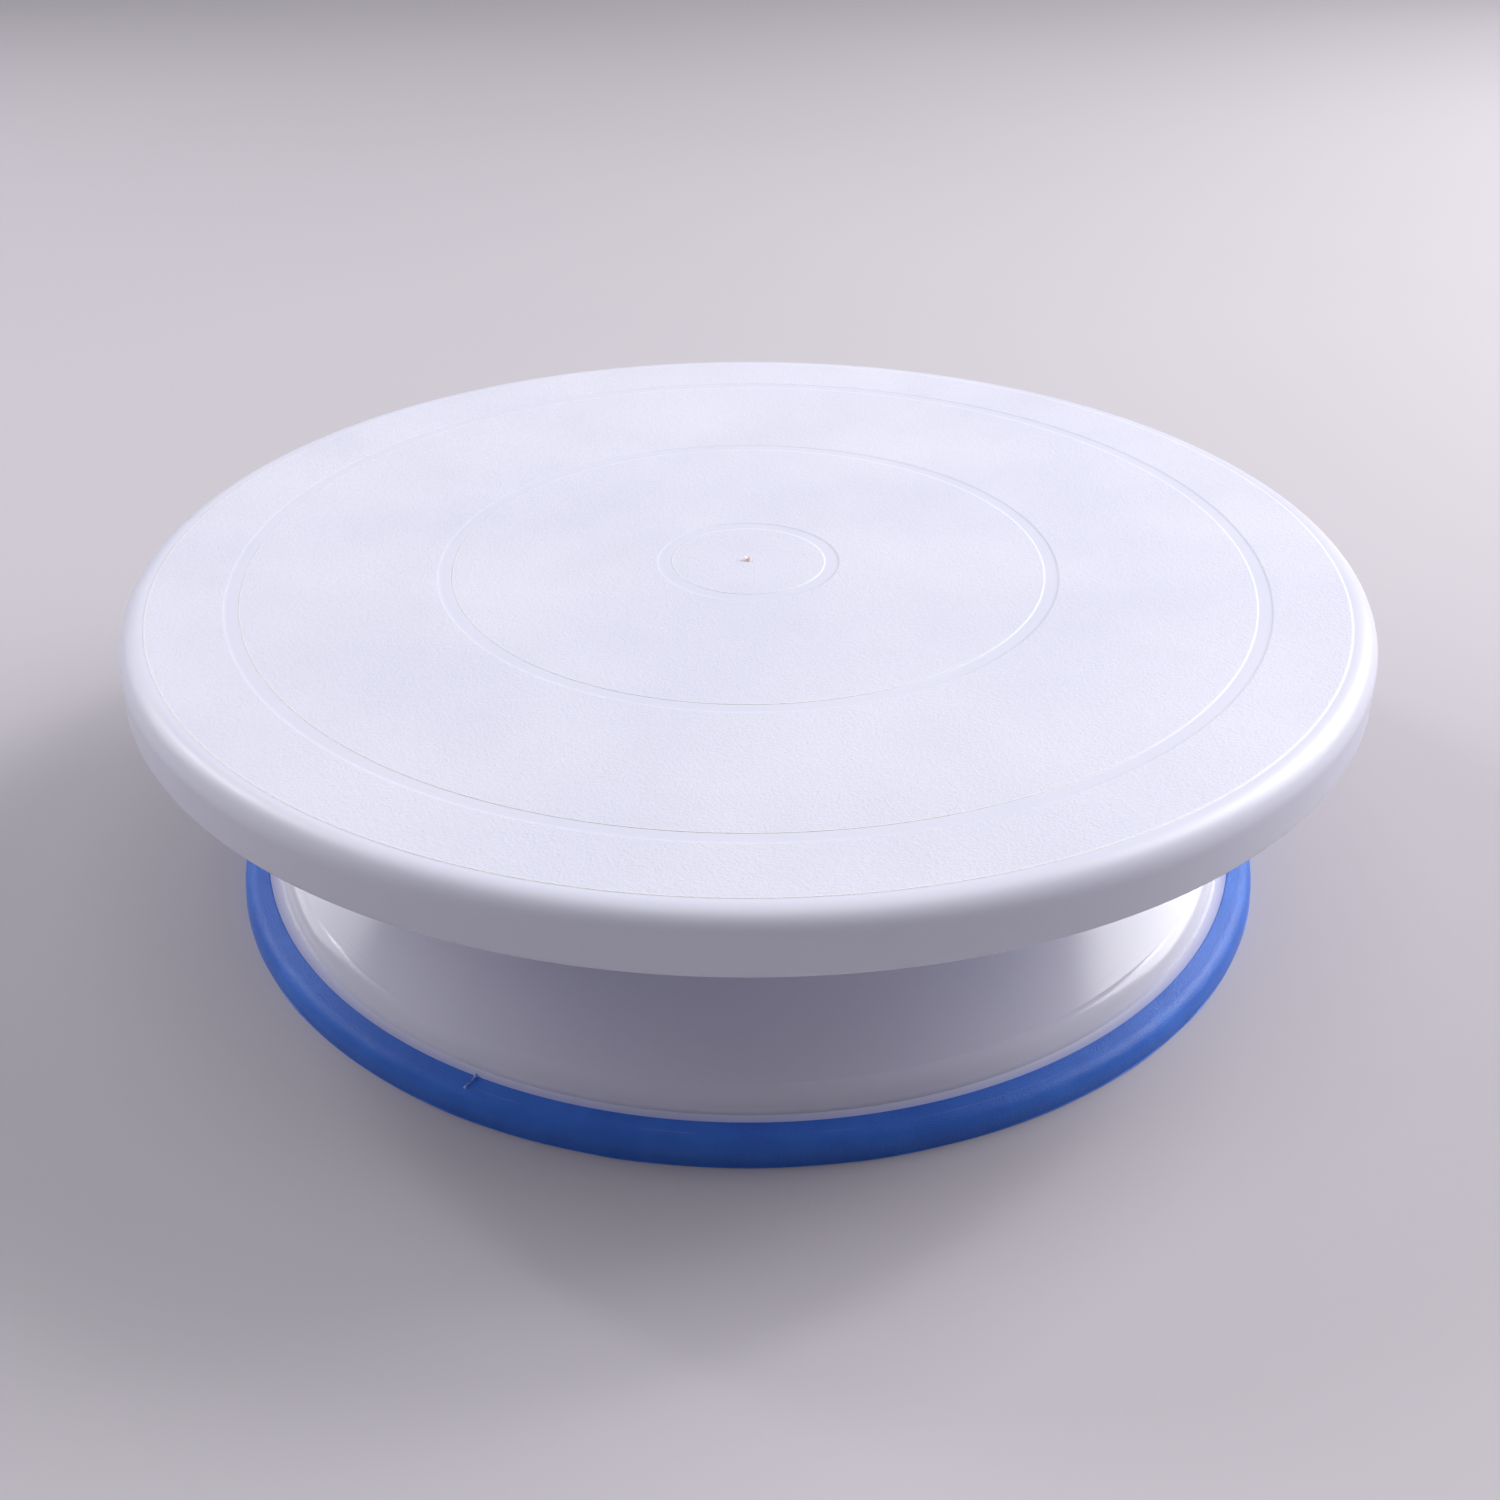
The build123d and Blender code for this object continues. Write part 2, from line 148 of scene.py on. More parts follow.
# The two heights between which moulding flash stands out round the lower edge.
FLASH = (0.06, 0.16)
MOULD_LINE_R = 118.9
TRUMPET_R = (EDGE_LINE[0] - NECK_R) / (
    math.sin(math.radians(NECK_SLOPE)) - math.sin(math.radians(FOOT_SLOPE))
)


# ---- mesh tools --------------------------------------------------------------
def rounded(corners):
    """Closed outline in which each corner with a rounding becomes a small arc.

    A very slight corner only gets a held point on either side, because an arc between edges
    that are nearly in line can't be placed exactly enough to shade smoothly."""
    points = []
    for i, corner in enumerate(corners):
        here = Vector(corner[:2])
        size = corner[2] if len(corner) > 2 else 0.0
        if size == 0.0:
            points.append(here)
            continue
        to_last = Vector(corners[i - 1][:2]) - here
        to_next = Vector(corners[(i + 1) % len(corners)][:2]) - here
        back = to_last.normalized()
        ahead = to_next.normalized()
        half = back.angle(ahead) / 2
        if math.pi - 2 * half < SLIGHT_BEND:
            points += [here + back * HOLD, here, here + ahead * HOLD]
            continue
        reach = size / math.tan(half)
        centre = here + (back + ahead).normalized() * size / math.sin(half)
        first = here + back * reach - centre
        last = here + ahead * reach - centre
        sweep = math.pi - 2 * half
        steps = max(2, min(12, round(sweep * size * 4) + 2))
        if to_last.length > reach + 3 * HOLD:
            points.append(here + back * (reach + HOLD))
        for k in range(steps + 1):
            t = k / steps
            mixed = first * math.sin((1 - t) * sweep) + last * math.sin(t * sweep)
            points.append(centre + mixed / math.sin(sweep))
        if to_next.length > reach + 3 * HOLD:
            points.append(here + ahead * (reach + HOLD))
    return points


def arc(centre, radius, first, last, steps):
    """Outline points of an arc between two angles, in degrees clockwise from straight up."""
    points = []
    for k in range(steps + 1):
        angle = math.radians(first + (last - first) * k / steps)
        points.append((centre[0] + radius * math.sin(angle), centre[1] + radius * math.cos(angle)))
    return points


def as_object(mesh, name):
    """Object from a bmesh, shaded smooth with its real edges kept sharp."""
    bmesh.ops.recalc_face_normals(mesh, faces=mesh.faces)
    data = bpy.data.meshes.new(name)
    mesh.to_mesh(data)
    mesh.free()
    made = bpy.data.objects.new(name, data)
    bpy.context.scene.collection.objects.link(made)
    shade(made)
    return made


def shade(made):
    """Smooth shading that breaks at real edges."""
    made.data.shade_smooth()
    made.data.set_sharp_from_angle(angle=SHARP_ANGLE)


def lathe(name, outline):
    """Turned mesh about Z from a closed outline."""
    mesh = bmesh.new()
    rings = []
    for radius, height in outline:
        if radius < 1e-6:
            rings.append([mesh.verts.new((0, 0, height * MM))])
            continue
        ring = []
        reach = radius * MM
        for k in range(SEGMENTS):
            angle = 2 * math.pi * k / SEGMENTS
            x, y = reach * math.cos(angle), reach * math.sin(angle)
            ring.append(mesh.verts.new((x, y, height * MM)))
        rings.append(ring)
    for i, ring in enumerate(rings):
        other = rings[(i + 1) % len(rings)]
        if len(ring) == 1 and len(other) == 1:
            continue
        for k in range(SEGMENTS):
            n = (k + 1) % SEGMENTS
            places = ((ring, k), (ring, n), (other, n), (other, k))
            corners = [row[place % len(row)] for row, place in places]
            mesh.faces.new(list(dict.fromkeys(corners)))
    return as_object(mesh, name)


def bridge(mesh, loops):
    """Joins each loop of vertices to the next with faces, and closes the first loop."""
    for low, high in zip(loops, loops[1:]):
        for k in range(len(low)):
            n = (k + 1) % len(low)
            mesh.faces.new((low[k], low[n], high[n], high[k]))
    mesh.faces.new(reversed(loops[0]))


def fins(name, rows, count, start):
    """Evenly spaced radial ribs, the first at start degrees.

    Each row is (inner radius, outer radius, height, half thickness), from the lowest up."""
    mesh = bmesh.new()
    for k in range(count):
        turn = Matrix.Rotation(math.radians(start + 360 * k / count), 4, "Z")
        loops = []
        for inner, outer, height, half in rows:
            corners = ((inner, -half), (outer, -half), (outer, half), (inner, half))
            loops.append([mesh.verts.new(turn @ Vector((r, t, height)) * MM) for r, t in corners])
        bridge(mesh, loops)
        mesh.faces.new(loops[-1])
    return as_object(mesh, name)


def ejector_marks(count, radii, ceiling):
    """Round bars, count of them at each radius, that cut shallow marks into a ceiling."""
    low, high = ceiling - 1, ceiling + EJECTOR_DEPTH
    mesh = bmesh.new()
    for x, y in (place for radius in radii for place in ring_of(count, radius)):
        at = Matrix.Translation((x * MM, y * MM, (low + high) / 2 * MM))
        bmesh.ops.create_cone(
            mesh,
            cap_ends=True,
            segments=32,
            radius1=EJECTOR_R * MM,
            radius2=EJECTOR_R * MM,
            depth=(high - low) * MM,
            matrix=at,
        )
    return as_object(mesh, "ejector_marks")


def ring_of(count, radius):
    """Points evenly spaced on a circle."""
    angles = [math.radians(360 * k / count) for k in range(count)]
    return [(radius * math.cos(a), radius * math.sin(a)) for a in angles]


def combine(target, tool, operation):
    """Applies a boolean with the tool, and removes the tool."""
    step = target.modifiers.new("combine", "BOOLEAN")
    step.object = tool
    step.operation = operation
    step.solver = "EXACT"
    graph = bpy.context.evaluated_depsgraph_get()
    result = bpy.data.meshes.new_from_object(target.evaluated_get(graph))
    target.modifiers.clear()
    target.data = result
    bpy.data.objects.remove(tool)
    shade(target)


def add_piece(made, body, material, slot, *nodes):
    """Gives a new piece its material and its body, and hides the CAD nodes it stands for; the slot
    argument is not used.
    """
    made.data.materials.clear()
    made.data.materials.append(material)
    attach(made, body)
    if nodes:
        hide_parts(*nodes)
    return made


# ---- material tools ----------------------------------------------------------
class Shader:
    """One procedural material around a Principled shader.

    Constants are the shader's own sockets, with _ for a space in a socket's name."""

    def __init__(self, name, **constants):
        self.material = bpy.data.materials.new(name)
        self.material.use_nodes = True
        self.tree = self.material.node_tree
        self.principled = self.tree.nodes["Principled BSDF"]
        for socket, value in constants.items():
            self.principled.inputs[socket.replace("_", " ")].default_value = value
        self.place = self.tree.nodes.new("ShaderNodeTexCoord").outputs["Object"]

    def feed(self, socket, value):
        """Links a socket to another socket's output, or sets it to a number or colour."""
        if isinstance(value, bpy.types.NodeSocket):
            self.tree.links.new(value, socket)
        elif value is not None:
            socket.default_value = value

    def set(self, socket, value):
        self.feed(self.principled.inputs[socket], value)

    def node(self, kind, inputs, **settings):
        made = self.tree.nodes.new(kind)
        for name, value in settings.items():
            setattr(made, name, value)
        for key, value in inputs.items():
            self.feed(made.inputs[key], value)
        return made

    def math(self, operation, a, b=None):
        return self.node("ShaderNodeMath", {0: a, 1: b}, operation=operation).outputs[0]

    def scaled(self, factors):
        """The object's coordinates, each multiplied by its own factor."""
        inputs = {0: self.place, 1: factors}
        return self.node("ShaderNodeVectorMath", inputs, operation="MULTIPLY").outputs[0]

    def radius(self):
        """Distance from the turntable's axis, in metres."""
        inputs = {0: self.scaled((1, 1, 0))}
        return self.node("ShaderNodeVectorMath", inputs, operation="LENGTH").outputs["Value"]

    def height(self):
        """Height above the floor, in metres."""
        return self.node("ShaderNodeSeparateXYZ", {0: self.place}).outputs["Z"]

    def noise(self, size, detail=2.0, rough=0.5, distortion=0.0, vector=None):
        """Noise whose features are about size metres across."""
        inputs = {
            "Vector": vector or self.place,
            "Scale": 1 / size,
            "Detail": detail,
            "Roughness": rough,
            "Distortion": distortion,
        }
        return self.node("ShaderNodeTexNoise", inputs).outputs["Fac"]

    def cells(self, size, feature="F1"):
        """Distance to scattered points that are about size metres apart, in units of size."""
        inputs = {"Vector": self.place, "Scale": 1 / size}
        return self.node("ShaderNodeTexVoronoi", inputs, feature=feature).outputs["Distance"]

    def ramp(self, value, low, high, bottom=0.0, top=1.0):
        """Smooth step from bottom to top as value goes from low to high."""
        inputs = {
            "Value": value,
            "From Min": low,
            "From Max": high,
            "To Min": bottom,
            "To Max": top,
        }
        made = self.node("ShaderNodeMapRange", inputs, interpolation_type="SMOOTHSTEP")
        return made.outputs["Result"]

    def mix(self, factor, a, b):
        """Colour that goes from a to b as factor goes from 0 to 1."""
        return self.node("ShaderNodeMix", {0: factor, 6: a, 7: b}, data_type="RGBA").outputs[2]

    def relief(self, *layers):
        """Bumps the surface by layers of (pattern, depth in metres)."""
        total = None
        for pattern, depth in layers:
            layer = self.math("MULTIPLY", pattern, depth)
            total = layer if total is None else self.math("ADD", total, layer)
        inputs = {"Height": total, "Distance": 1.0}
        self.set("Normal", self.node("ShaderNodeBump", inputs).outputs["Normal"])


# ---- materials ---------------------------------------------------------------
# Light goes a few millimetres into white polypropylene, blue a little less far.
POLYPROPYLENE = {
    "IOR": 1.49,
    "Subsurface_Weight": 0.12,
    "Subsurface_Scale": 0.004,
    "Subsurface_Radius": (1.0, 0.95, 0.9),
}


def plate_plastic():
    """White polypropylene: leather grain on the raised panels, smooth channels, rim and skirt.

    The panel edge inside each channel and at the rim also gets a whiter painted line, a painted
    highlight added to the light its rounding catches."""
    s = Shader("plate_plastic", **POLYPROPYLENE)
    panel = s.ramp(s.height(), (TOP - 0.07) * MM, (TOP - 0.02) * MM)
    wrinkles = s.noise(0.00052, detail=2.0, rough=0.55, distortion=0.9)
    pebbles = s.cells(0.00060, feature="SMOOTH_F1")
    grain = s.math("ADD", s.math("MULTIPLY", wrinkles, 0.75), s.math("MULTIPLY", pebbles, 0.45))
    grain = s.math("MULTIPLY", grain, panel)
    s.relief((s.noise(0.035, detail=1.0), 0.00006), (grain, 0.00017))
    handled = s.noise(0.028, detail=4.0, rough=0.6)
    smooth_gloss = s.ramp(handled, 0.3, 0.75, 0.34, 0.43)
    uneven = s.math("ADD", handled, s.math("MULTIPLY", wrinkles, 0.4))
    grain_gloss = s.ramp(uneven, 0.4, 0.95, 0.38, 0.52)
    blend = {0: panel, 2: smooth_gloss, 3: grain_gloss}
    s.set("Roughness", s.node("ShaderNodeMix", blend, data_type="FLOAT").outputs[0])
    flow = s.noise(0.06, detail=3.0)
    white = s.mix(s.ramp(flow, 0.3, 0.7), (0.755, 0.762, 0.885, 1), (0.790, 0.794, 0.905, 1))
    # Channels, rim and skirt are mixed a quarter of the way to a darker, bluer white: painted
    # shade in the channels and on the smooth surfaces.
    white = s.mix(panel, s.mix(0.25, white, (0.71, 0.72, 0.86, 1)), white)
    # Darker in the grain's valleys on the panels: painted shade.
    painted_valley_shade = s.math("MULTIPLY", s.ramp(wrinkles, 0.56, 0.36), s.math("MULTIPLY", panel, 0.10))
    white = s.mix(painted_valley_shade, white, (0.60, 0.60, 0.70, 1))
    radius = s.radius()
    # A whiter line along each channel's inner edge and the panel's outer edge, on the top only:
    # painted highlight.
    painted_edge_highlight = None
    for edge in CHANNEL_INNER_RADII + (PANEL_R,):
        offset = s.math("ABSOLUTE", s.math("SUBTRACT", radius, (edge + 0.12) * MM))
        line = s.ramp(offset, 0.32 * MM, 0.16 * MM)
        painted_edge_highlight = line if painted_edge_highlight is None else s.math("MAXIMUM", painted_edge_highlight, line)
    on_top = s.ramp(s.height(), (TOP - 1.0) * MM, (TOP - 0.5) * MM, 0.0, 0.55)
    white = s.mix(s.math("MULTIPLY", painted_edge_highlight, on_top), white, (0.97, 0.97, 1.0, 1))
    skirt_foot = s.ramp(s.height(), (SKIRT_BOTTOM + 1.6) * MM, SKIRT_BOTTOM * MM, 0.0, 0.35)
    # Darker grey in patches towards the skirt's bottom edge.
    foot_darkening = s.math("MULTIPLY", skirt_foot, s.ramp(s.noise(0.006, detail=3.0), 0.42, 0.66))
    s.set("Base Color", s.mix(foot_darkening, white, (0.62, 0.61, 0.66, 1)))
    return s.material


def base_plastic():
    """Glossy white polypropylene with faint moulding waves and specks of dust.

    The flange next to the blue ring is painted bluish: painted blue light bounced off the ring."""
    s = Shader("base_plastic", **POLYPROPYLENE)
    radius = s.radius()
    s.relief((s.noise(0.02, detail=1.0), 0.00002), (s.noise(0.0014, detail=1.0), 0.000003))
    smear = s.noise(0.03, detail=4.0, rough=0.65)
    fine = s.noise(0.0009, detail=1.0)
    gloss = s.math("ADD", s.ramp(smear, 0.35, 0.72, 0.14, 0.22), s.math("MULTIPLY", fine, 0.03))
    s.set("Roughness", gloss)
    flow = s.noise(0.05, detail=3.0)
    white = s.mix(s.ramp(flow, 0.3, 0.7), (0.81, 0.815, 0.925, 1), (0.85, 0.85, 0.945, 1))
    low = s.ramp(s.height(), 7.4 * MM, 6.6 * MM)
    # Bluish on the flange next to the ring: painted bounce light from the blue ring.
    painted_ring_bounce = s.math("MULTIPLY", s.ramp(radius, 113.0 * MM, 116.2 * MM, 0.0, 0.55), low)
    white = s.mix(painted_ring_bounce, white, (0.36, 0.42, 0.84, 1))
    dust = s.cells(0.009)
    specks = s.math("MULTIPLY", s.ramp(dust, 0.022, 0.012), 0.5)
    s.set("Base Color", s.mix(specks, white, (0.35, 0.33, 0.34, 1)))
    return s.material


def foot_rubber():
    """Blue thermoplastic rubber with a fine spark texture, dust specks and a faint mould line."""
    s = Shader("foot_rubber", IOR=1.5, Specular_IOR_Level=0.42)
    spark = s.noise(0.00024, detail=2.0, rough=0.6)
    pits = s.cells(0.0004)
    texture = s.math("ADD", spark, s.math("MULTIPLY", pits, 0.5))
    s.relief((texture, 0.00010))
    rub = s.noise(0.012, detail=4.0, rough=0.6)
    uneven = s.math("ADD", rub, s.math("MULTIPLY", spark, 0.4))
    s.set("Roughness", s.ramp(uneven, 0.4, 1.0, 0.285, 0.36))
    blue = s.mix(s.ramp(rub, 0.3, 0.75), (0.036, 0.160, 0.66, 1), (0.048, 0.200, 0.75, 1))
    blue = s.mix(s.ramp(spark, 0.60, 0.80, 0.0, 0.30), blue, (0.12, 0.24, 0.72, 1))
    radius = s.radius()
    offset = s.math("ABSOLUTE", s.math("SUBTRACT", radius, MOULD_LINE_R * MM))
    line = s.ramp(offset, 0.00016, 0.00004)
    line = s.math("MULTIPLY", line, s.ramp(s.noise(0.02), 0.48, 0.6, 0.0, 0.35))
    blue = s.mix(line, blue, (0.25, 0.35, 0.75, 1))
    lint = s.ramp(s.cells(0.0055), 0.045, 0.03, 0.0, 0.75)
    chosen = s.ramp(s.noise(0.015, detail=2.0), 0.5, 0.58)
    s.set("Base Color", s.mix(s.math("MULTIPLY", lint, chosen), blue, (0.62, 0.60, 0.66, 1)))
    return s.material


def flash_rubber():
    """A thin shred of the same rubber, paler because light comes through it."""
    s = Shader("flash_rubber", Roughness=0.4, Subsurface_Weight=0.2, Subsurface_Scale=0.001)
    streak = s.noise(0.0006, detail=3.0)
    s.relief((streak, 0.00004))
    paler = s.ramp(streak, 0.35, 0.65)
    s.set("Base Color", s.mix(paler, (0.16, 0.30, 0.85, 1), (0.34, 0.50, 0.95, 1)))
    return s.material


def gate_plastic():
    """The torn gate: the plate's plastic, whitened by stress and a little scorched."""
    s = Shader("gate_plastic", Roughness=0.6, Subsurface_Weight=0.3, Subsurface_Scale=0.001)
    torn = s.noise(0.00035, detail=3.0, rough=0.7)
    s.relief((torn, 0.00002))
    whitened = s.ramp(torn, 0.35, 0.65)
    s.set("Base Color", s.mix(whitened, (0.90, 0.76, 0.72, 1), (0.94, 0.88, 0.88, 1)))
    return s.material


def turned_steel(name, colour, rough):
    """Turned steel: fine tool rings, smeared grease and small scratches."""
    s = Shader(name, Metallic=1.0)
    radius = s.radius()
    rings = s.node("ShaderNodeTexNoise", {"Scale": 1.0}, noise_dimensions="1D")
    s.feed(rings.inputs["W"], s.math("MULTIPLY", radius, 5200.0))
    scratch = s.noise(0.0006, detail=3.0, vector=s.scaled((1.0, 0.12, 1.0)))
    s.relief((rings.outputs["Fac"], 0.000005), (scratch, 0.000004))
    grease = s.noise(0.008, detail=4.0, rough=0.6)
    s.set("Roughness", s.ramp(grease, 0.3, 0.7, rough, rough + 0.1))
    darker = tuple(0.72 * c for c in colour) + (1,)
    s.set("Base Color", s.mix(s.ramp(grease, 0.35, 0.75), colour + (1,), darker))
    return s.material


def ball_steel():
    """Polished bearing steel with rolling marks."""
    s = Shader("ball_steel", Metallic=1.0)
    mark = s.noise(0.0011, detail=4.0, rough=0.7, distortion=1.5)
    s.relief((mark, 0.000002))
    s.set("Roughness", s.ramp(mark, 0.45, 0.7, 0.05, 0.16))
    dulled = s.ramp(mark, 0.4, 0.7)
    s.set("Base Color", s.mix(dulled, (0.72, 0.72, 0.74, 1), (0.58, 0.58, 0.60, 1)))
    return s.material


def nylon():
    """Natural nylon: warm off-white, satin, a little scuffed."""
    s = Shader("nylon", IOR=1.53, Subsurface_Weight=0.1, Subsurface_Scale=0.002)
    scuff = s.noise(0.002, detail=4.0, rough=0.65)
    s.relief((scuff, 0.00001))
    s.set("Roughness", s.ramp(scuff, 0.35, 0.7, 0.38, 0.55))
    worn = s.ramp(scuff, 0.35, 0.7)
    s.set("Base Color", s.mix(worn, (0.76, 0.73, 0.64, 1), (0.68, 0.65, 0.57, 1)))
    return s.material


# ---- top plate ---------------------------------------------------------------
def plate_outline():
    """Section of the plate, from the axis out along the top and back along the underside."""
    corners = [(0, TOP)]
    for inner in CHANNEL_INNER_RADII:
        outer = inner + CHANNEL_WIDTH
        corners.append((inner, TOP, 0.25))
        corners.append((inner + CHANNEL_LEANS[0], TOP - CHANNEL_DEPTH, 0.5))
        corners.append((outer - CHANNEL_LEANS[1], TOP - CHANNEL_DEPTH, 1.0))
        corners.append((outer, TOP, 0.8))
    corners += [
        (PANEL_R, TOP, 0.8),
        (PANEL_R + RIM_SLOPE, TOP - RIM_STEP, 1.5),
        (PLATE_R, TOP - RIM_STEP, RIM_ROUNDING),
        (PLATE_R, SKIRT_BOTTOM, 0.8),
        (PLATE_R - SKIRT_WALL, SKIRT_BOTTOM, 0.8),
        (PLATE_R - SKIRT_WALL, UNDERSIDE, 2.0),
        (RING_RIB_R + RING_RIB_ROOT, UNDERSIDE, 0.5),
        (RING_RIB_R + RING_RIB_EDGE[1], RIB_BOTTOM, 0.4),
        (RING_RIB_R + RING_RIB_EDGE[0], RIB_BOTTOM, 0.4),
        (RING_RIB_R, UNDERSIDE, 0.5),
    ]
    lip_bottom = RACE_TOP - LIP_HEIGHT
    corners += [
        (RACE_R + LIP_WALL, UNDERSIDE, 0.4),
        (RACE_R + LIP_WALL, lip_bottom, 0.3),
        (RACE_R + PRESS_GAP, lip_bottom, 0.2),
        (RACE_R + PRESS_GAP, RACE_TOP),
        (RACE_INNER_R - PRESS_GAP, RACE_TOP),
        (RACE_INNER_R - PRESS_GAP, lip_bottom, 0.2),
        (RACE_INNER_R - LIP_WALL, lip_bottom, 0.3),
        (RACE_INNER_R - LIP_WALL, UNDERSIDE, 0.4),
        (HUB_R + 0.3, UNDERSIDE, 0.6),
        (HUB_R, HUB_BOTTOM, 0.3),
        (SPINDLE_R + PRESS_GAP, HUB_BOTTOM, 0.2),
        (SPINDLE_R + PRESS_GAP, BORE_END),
        (0, BORE_END),
    ]
    return rounded(corners)


def rib_rows(inner, outer, low, high):
    """Rows of a straight rib that is thinner towards its free lower edge."""
    return [(inner, outer, low, 0.5), (inner, outer, low + 0.25, 0.72), (inner, outer, high, 0.95)]


def make_plate(material):
    """The plate moulding: a turned skin, skirt and hub, with spokes and gussets underneath."""
    plate = lathe("plate_moulding", plate_outline())
    inside_skin = UNDERSIDE + RIB_BITE
    spokes = rib_rows(RACE_R + LIP_WALL / 2, PLATE_R - SKIRT_WALL / 2, RIB_BOTTOM, inside_skin)
    combine(plate, fins("spokes", spokes, SPOKE_COUNT, start=15.0), "UNION")
    gussets = rib_rows(SPINDLE_R + 3, RACE_INNER_R - LIP_WALL / 2, RIB_BOTTOM, inside_skin)
    combine(plate, fins("gussets", gussets, GUSSET_COUNT, start=0.0), "UNION")
    combine(plate, ejector_marks(SPOKE_COUNT, PLATE_MARK_RADII, UNDERSIDE), "DIFFERENCE")
    return add_piece(plate, "turntable", material, "plate_plastic", "top_plate")


def make_gate(material):
    """A stub of torn plastic with a forked tip, at the middle of the plate."""
    draw = random.Random(5)
    mesh = bmesh.new()
    levels, around = 7, 14
    root_r, taper, bend, sunk = 0.98, 0.40, 0.25, 0.3
    _, stub_top, _ = span("top_plate")
    full_rise = stub_top - TOP + 0.5
    rings = []
    for level in range(levels):
        t = level / (levels - 1)
        ring = []
        for k in range(around):
            angle = 2 * math.pi * k / around
            fork = 0.5 + 0.5 * math.cos(2 * angle + 0.6)
            radius = (root_r - taper * t) * (1 + draw.uniform(-0.10, 0.10))
            rise = full_rise * t * (0.60 + 0.40 * fork if level > 3 else 0.8)
            x = radius * math.cos(angle) - bend * t * t
            y = radius * math.sin(angle)
            ring.append(mesh.verts.new((x * MM, y * MM, (TOP - sunk + rise) * MM)))
        rings.append(ring)
    bridge(mesh, rings)
    pit = mesh.verts.new((-0.2 * MM, 0, (TOP + 0.15) * MM))
    for k in range(around):
        mesh.faces.new((rings[-1][k], rings[-1][(k + 1) % around], pit))
    return add_piece(as_object(mesh, "gate_vestige"), "turntable", material, "plate_plastic")


# ---- base --------------------------------------------------------------------
def trumpet_arc(inset, steps):
    """Outline points of the flared wall from foot to neck, inset behind its outer face."""
    foot = math.radians(FOOT_SLOPE)
    centre = (EDGE_LINE[0] + TRUMPET_R * math.sin(foot), EDGE_LINE[1] + TRUMPET_R * math.cos(foot))
    return arc(centre, -(TRUMPET_R + inset), FOOT_SLOPE, NECK_SLOPE, steps)


def crown_arc(end, radius, first, last, fixed, steps):
    """Convex arc between two slopes, placed so that its slope at end is fixed."""
    angle = math.radians(fixed)
    centre = (end[0] - radius * math.sin(angle), end[1] - radius * math.cos(angle))
    return arc(centre, radius, first, last, steps)


def with_witness_line(points, index):
    """Adds a hair-fine ridge between two points of the wall, where two mould inserts meet."""
    before, after = Vector(points[index]), Vector(points[index + 1])
    along = (after - before).normalized()
    outward = Vector((-along.y, along.x))
    if outward.y < 0:
        outward.negate()
    middle = (before + after) / 2
    ridge = []
    for step, rise in ((-0.22, 0.0), (-0.11, 0.0), (0.0, 0.02), (0.11, 0.0), (0.22, 0.0)):
        ridge.append(tuple(middle + along * step + outward * rise))
    return points[: index + 1] + ridge + points[index + 1 :]


def base_outline():
    """Section of the base, from under the foot up the outside, over the deck and down inside."""
    shoulder = crown_arc(EDGE_LINE, SHOULDER_R, *SHOULDER_SLOPES, SHOULDER_SLOPES[1], 14)
    outside = trumpet_arc(0.0, 48)
    neck = outside[-1]
    crown_r = (DECK - neck[1]) / (1 - math.cos(math.radians(NECK_SLOPE)))
    crown = crown_arc(neck, crown_r, NECK_SLOPE, 0.0, NECK_SLOPE, 8)
    inside = trumpet_arc(BASE_WALL, 48)
    outside = with_witness_line(outside, 1)
    corners = [
        (WEB_INNER_R, WEB_TOP + 0.01, 0.3),
        (TONGUE_R, WEB_TOP + 0.01, 0.2),
        (TONGUE_R, TONGUE_TOP, 0.2),
        (FLANGE[0], TONGUE_TOP, 0.1),
        (FLANGE[0], FLANGE[1]),
    ]
    corners += shoulder[:-1]
    corners.append((*EDGE_LINE, 0.25))
    corners += outside[1:-1]
    corners += crown
    corners += [
        (RACE_R + LIP_WALL, DECK, 0.4),
        (RACE_R + LIP_WALL, DECK + LIP_HEIGHT, 0.3),
        (RACE_R + PRESS_GAP, DECK + LIP_HEIGHT, 0.2),
        (RACE_R + PRESS_GAP, DECK - 0.01),
        (RACE_INNER_R - PRESS_GAP, DECK - 0.01),
        (RACE_INNER_R - PRESS_GAP, DECK + LIP_HEIGHT, 0.2),
        (RACE_INNER_R - LIP_WALL, DECK + LIP_HEIGHT, 0.3),
        (RACE_INNER_R - LIP_WALL, DECK, 0.4),
        (BUSH_SEAT_R, DECK, 0.15),
        (BUSH_SEAT_R, DECK - BUSH_SEAT_DEPTH),
        (BUSH_BORE_R, DECK - BUSH_SEAT_DEPTH),
        (BUSH_BORE_R, HUB_SHOULDER),
        (HUB_CUP_BORE, HUB_SHOULDER),
        (HUB_CUP_BORE, CAP_BOTTOM + CAP_RIM, 0.15),
        (CUP_R, CAP_BOTTOM + CAP_RIM, 0.15),
        (CUP_R, HUB_CUP_TOP, 0.8),
        (HUB_TUBE_FOOT_R, HUB_CUP_TOP, 0.8),
        (HUB_TUBE_R, DECK - BASE_WALL, 1.0),
        (inside[-1][0] - 1.6, DECK - BASE_WALL, 1.2),
    ]
    corners += reversed(inside)
    corners.append((WEB_INNER_R, WEB_TOP + 2.0, 0.5))
    return rounded(corners)


def base_rib_rows():
    """Rows of a rib that fills the angle between hub, deck and flared wall."""
    inside_cup, inside_tube, cup_height = 13.4, 8.4, 34.0
    wall = trumpet_arc(BASE_WALL / 2, 24)
    rows = []
    for radius, height in wall:
        if height > CAP_BOTTOM + 2.6:
            inner = inside_cup if height < cup_height else inside_tube
            rows.append((inner, radius, height, 0.8 + 0.2 * height / DECK))
    rows.append((inside_tube, wall[-1][0] - 1, DECK - BASE_WALL / 2, 1.0))
    return rows


